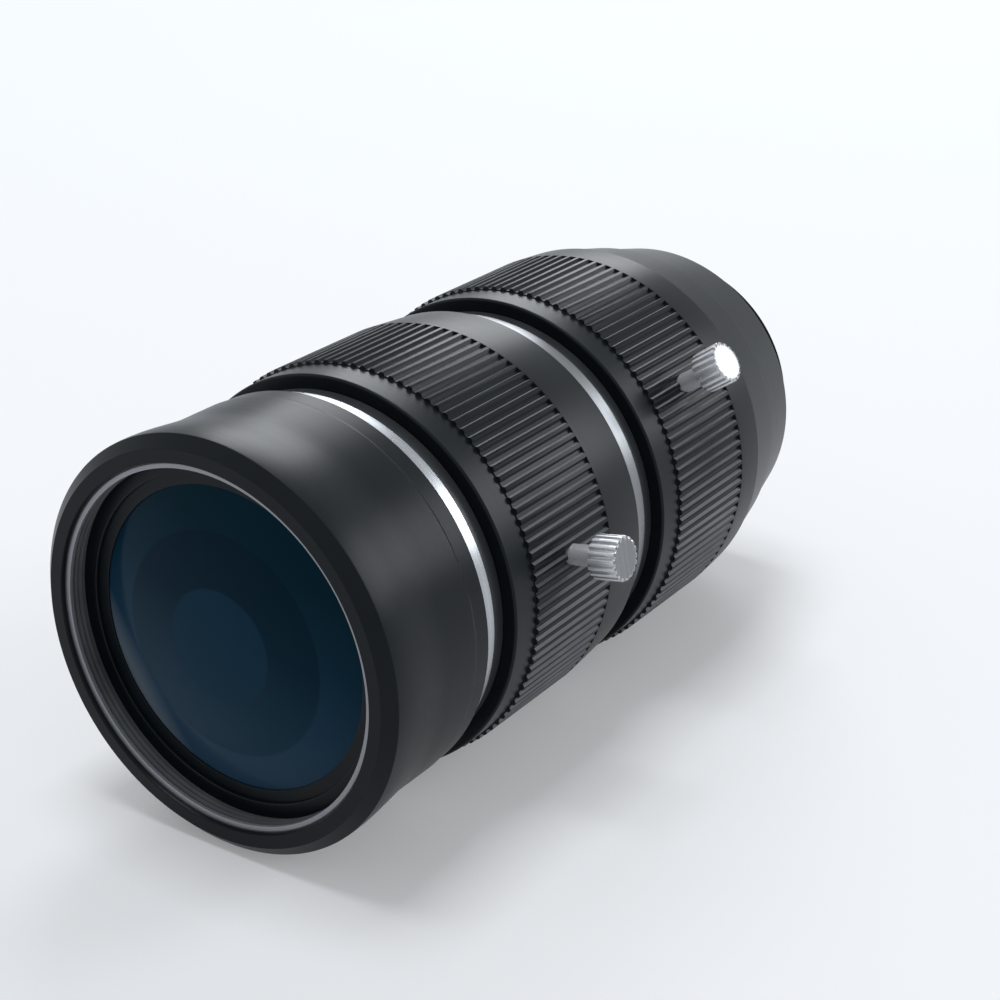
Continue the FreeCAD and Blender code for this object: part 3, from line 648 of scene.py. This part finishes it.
TEETH = 116
KNURL_R = 18.0
FLOOR_R = 17.74
PLAIN_FRONT_R = 17.65
RING_BORE_R = 15.95
RING_BEVEL = 0.15
KNURL_PHASE = -0.10
RIB_SHARP_DEG = 30.0
FLANK_TURN = 0.7

# Columns across one tooth: the place in shares of the pitch, and the height in shares of a rib's.
TOOTH_COLUMNS = ((-0.150, 0.0), (0.150, 0.0), (0.163, 0.03), (0.337, 0.97), (0.350, 1.0), (0.650, 1.0),
                 (0.663, 0.97), (0.837, 0.03))
knurl_angles = [360.0 * (tooth + place + KNURL_PHASE) / TEETH for tooth in range(TEETH)
                for place, _ in TOOTH_COLUMNS]


def on_painted_flank(face):
    """True on the ribs' flanks that look towards larger angles, which carry the painted highlight."""
    r = face_radius(face)
    turn = (face.normal.z * face.center.x - face.normal.x * face.center.z) / (r * MM)
    return FLOOR_R < r < KNURL_R - 0.01 and turn > FLANK_TURN


def knurled(name, node, rear_r, rear_h, knurl_rear, knurl_front, front_h):
    """Grip ring. A row of its ribs holds the radius on a rib, the radius in a groove and the height."""
    plain_rear = eased([
        (RING_BORE_R, rear_h), (rear_r - RING_BEVEL, rear_h), (rear_r, rear_h + RING_BEVEL),
        (KNURL_R, knurl_rear - 0.3, 0.05), (KNURL_R, knurl_rear - 0.1),
    ], closed=False)
    plain_front = eased([
        (PLAIN_FRONT_R, knurl_front + 0.1), (PLAIN_FRONT_R, front_h - RING_BEVEL),
        (PLAIN_FRONT_R - RING_BEVEL, front_h), (RING_BORE_R, front_h),
    ], closed=False)
    ribs = [
        (KNURL_R, KNURL_R, knurl_rear - 0.03),
        (KNURL_R, KNURL_R - 0.03, knurl_rear - 0.01),
        (KNURL_R, FLOOR_R + 0.03, knurl_rear + 0.01),
        (KNURL_R, FLOOR_R, knurl_rear + 0.04),
        (KNURL_R, FLOOR_R, knurl_front - 0.06),
        (KNURL_R - 0.015, FLOOR_R, knurl_front - 0.02),
        (KNURL_R - 0.05, FLOOR_R - 0.01, knurl_front),
        (PLAIN_FRONT_R + 0.03, PLAIN_FRONT_R + 0.02, knurl_front + 0.005),
        (PLAIN_FRONT_R, PLAIN_FRONT_R, knurl_front + 0.03),
    ]

    def column(k):
        share = TOOTH_COLUMNS[k % len(TOOTH_COLUMNS)][1]
        middle = [(floor + (top - floor) * share, h) for top, floor, h in ribs]
        return plain_rear + middle + plain_front

    grip = lathe(name, column, knurl_angles, sharp=RIB_SHARP_DEG)
    dress(grip, node, node, grip_black)
    # The flanks that look towards larger angles get the painted highlight material.
    repaint(grip, flank_painted_highlight, on_painted_flank)


knurled("focus_grip", "focus_ring", 17.56, 33.4, 38.9, 50.1, 53.0)
knurled("iris_grip", "iris_ring", 17.74, 11.5, 15.4, 26.7, 29.5)

# Thumb-screws, with places along the screw measured from the optical axis

SCREW_TEETH = 18
SCREW_R = 0.9
SCREW_TIP = 16.0
SCREW_POINT = 0.2
HEAD_R = 1.9
HEAD_FLOOR_R = 1.68
HEAD_START = 20.33
HEAD_SIDE_END = 22.9
HEAD_TOP = 23.03
END_FACING = 0.9

# Columns across one tooth of a head, in the same shares as on the rings.
FLUTE = ((-0.20, 0.0), (0.05, 0.0), (0.16, 0.25), (0.27, 0.9), (0.34, 1.0), (0.66, 1.0), (0.73, 0.9),
         (0.84, 0.25))
flute_angles = [360.0 * (tooth + place) / SCREW_TEETH for tooth in range(SCREW_TEETH) for place, _ in FLUTE]
shank = eased([
    (0.0, SCREW_TIP), (SCREW_R - SCREW_POINT, SCREW_TIP, 0.03), (SCREW_R, SCREW_TIP + SCREW_POINT, 0.03),
    (SCREW_R, HEAD_START, 0.04),
], closed=False)
head_start = [(1.45, HEAD_START), (1.6, HEAD_START + 0.01)]

# Rows of the head's side: the inset from its fluted radius, and the place along the screw.
head_side = [(0.10, 20.42), (0.0, 20.50), (0.0, 22.86), (0.06, 22.97)]
head_end = [(1.62, HEAD_TOP - 0.01), (1.5, HEAD_TOP), (0.75, HEAD_TOP), (0.0, HEAD_TOP)]


def thumb_screw(name, node, body, degrees, h):
    """Thumb-screw that stands out from the axis at an angle and a height."""
    turn = math.radians(degrees)
    outward = Vector((math.cos(turn), 0, math.sin(turn)))
    forward = Vector((0, -1, 0))
    sideways = outward.cross(forward)

    def place(r, around, along):
        spin = math.radians(around)
        point = outward * along + forward * (h + r * math.cos(spin)) + sideways * r * math.sin(spin)
        return point * MM

    def column(k):
        fluted_r = HEAD_FLOOR_R + (HEAD_R - HEAD_FLOOR_R) * FLUTE[k % len(FLUTE)][1]
        side = [(fluted_r - inset, along) for inset, along in head_side]
        return shank + head_start + side + head_end

    def on_end(face):
        return face.center.dot(outward) > HEAD_SIDE_END * MM and face.normal.dot(outward) > END_FACING

    screw = lathe(name, column, flute_angles, closed=False, place=place)
    # The shank and the head's side take the pale painted highlight copy; the end face keeps the darker
    # steel.
    dress(screw, body, node, screw_body_painted_highlight)
    repaint(screw, screw_metal, on_end)


thumb_screw("focus_lock", "focus_thumb_screw", "focus_screw", 10.4, 44.5)
thumb_screw("iris_lock", "iris_thumb_screw", "iris_screw", 35.1, 21.05)

# Floor and world

FLOOR_Z = -18.0 * MM
FLOOR_REACH = 3.0
FLOOR_MIDDLE = (0.02, -0.02, FLOOR_Z)
FLOOR_COLOUR = (0.765, 0.772, 0.785)
FLOOR_GLOW = 0.22
FLOOR_GLOW_STOPS = ((0.05, (1.0, 1.0, 1.0)), (0.50, (0.62, 0.74, 0.88)))
WORLD_COLOUR = (0.93, 0.96, 1.0)
WORLD_LIGHT = 0.32
WORLD_SEEN = 0.75


def seen_share(tree):
    """1 on rays from the camera, a reflection or through glass, 0 on the light's own."""
    path = tree.nodes.new("ShaderNodeLightPath")
    share = path.outputs["Is Camera Ray"]
    for ray in ("Is Glossy Ray", "Is Transmission Ray"):
        share = math_node(tree, "MAXIMUM", share, path.outputs[ray])
    return share


def floor_material():
    """Pale floor with a glow that only shows where it is seen, and fades outward."""
    material = bpy.data.materials.new("floor")
    material.use_nodes = True
    tree = material.node_tree
    tree.nodes.clear()
    diffuse = tree.nodes.new("ShaderNodeBsdfDiffuse")
    diffuse.inputs["Color"].default_value = (*FLOOR_COLOUR, 1)
    away = tree.nodes.new("ShaderNodeVectorMath")
    away.operation = "DISTANCE"
    away.inputs[1].default_value = FLOOR_MIDDLE
    tree.links.new(object_place(tree), away.inputs[0])
    glow = tree.nodes.new("ShaderNodeEmission")
    tree.links.new(tint(tree, away.outputs["Value"], FLOOR_GLOW_STOPS), glow.inputs["Color"])
    tree.links.new(ramp(tree, seen_share(tree), 0.0, FLOOR_GLOW), glow.inputs["Strength"])
    total = tree.nodes.new("ShaderNodeAddShader")
    link(tree, diffuse, "BSDF", total, 0)
    link(tree, glow, "Emission", total, 1)
    output = tree.nodes.new("ShaderNodeOutputMaterial")
    link(tree, total, "Shader", output, "Surface")
    return material


floor_mesh = bpy.data.meshes.new("floor")
floor_corners = [(x * FLOOR_REACH, y * FLOOR_REACH, FLOOR_Z)
                 for x, y in ((-1, -1), (1, -1), (1, 1), (-1, 1))]
floor_mesh.from_pydata(floor_corners, [], [(0, 1, 2, 3)])
floor_mesh.materials.append(floor_material())
floor = bpy.data.objects.new("floor", floor_mesh)
scene.collection.objects.link(floor)

world = bpy.data.worlds.new("studio")
scene.world = world
world.use_nodes = True
background = world.node_tree.nodes["Background"]
background.inputs["Color"].default_value = (*WORLD_COLOUR, 1)
world.node_tree.links.new(ramp(world.node_tree, seen_share(world.node_tree), WORLD_LIGHT, WORLD_SEEN),
                          background.inputs["Strength"])

# Lamps, in metres

LAMP_TARGET = Vector((0, -0.04, 0))
LAMP_COLOUR = (0.94, 0.97, 1.0)
LAMP_DISTANCE = 1.2


def area_lamp(name, direction, size, light):
    """Soft lamp that gives the target this much light, where 1 shows a white card as white."""
    data = bpy.data.lights.new(name, "AREA")
    data.shape = "RECTANGLE"
    data.size, data.size_y = size
    data.color = LAMP_COLOUR
    data.energy = light * math.pi * math.pi * LAMP_DISTANCE * LAMP_DISTANCE
    lamp = bpy.data.objects.new(name, data)
    scene.collection.objects.link(lamp)
    aim = Vector(direction).normalized()
    lamp.matrix_world = (Matrix.Translation(LAMP_TARGET + aim * LAMP_DISTANCE)
                         @ (-aim).to_track_quat("-Z", "Y").to_matrix().to_4x4())


area_lamp("top", (-0.12, 0.0, 1.0), (0.5, 0.5), 0.42)
area_lamp("back_left", (-0.43, 0.76, 0.49), (0.52, 0.52), 0.34)
area_lamp("back_right", (0.56, 0.76, 0.36), (0.52, 0.48), 0.28)

# Camera

EYE = Vector((99.97, -177.53, 77.50)) * MM
LOOK = Vector((-0.5107, 0.7581, -0.4056))
LENS = 75.6
SENSOR = 36.0
CLIP_NEAR = 0.01
CLIP_FAR = 20.0

ahead = LOOK.normalized()
right = ahead.cross(Vector((0, 0, 1))).normalized()
up = right.cross(ahead)
camera_data = bpy.data.cameras.new("camera")
camera_data.lens = LENS
camera_data.sensor_width = SENSOR
camera_data.clip_start = CLIP_NEAR
camera_data.clip_end = CLIP_FAR
camera = bpy.data.objects.new("camera", camera_data)
scene.collection.objects.link(camera)
camera.matrix_world = Matrix((
    (right.x, up.x, -ahead.x, EYE.x),
    (right.y, up.y, -ahead.y, EYE.y),
    (right.z, up.z, -ahead.z, EYE.z),
    (0, 0, 0, 1),
))
scene.camera = camera
scene.view_settings.view_transform = "Standard"

bpy.context.view_layer.update()
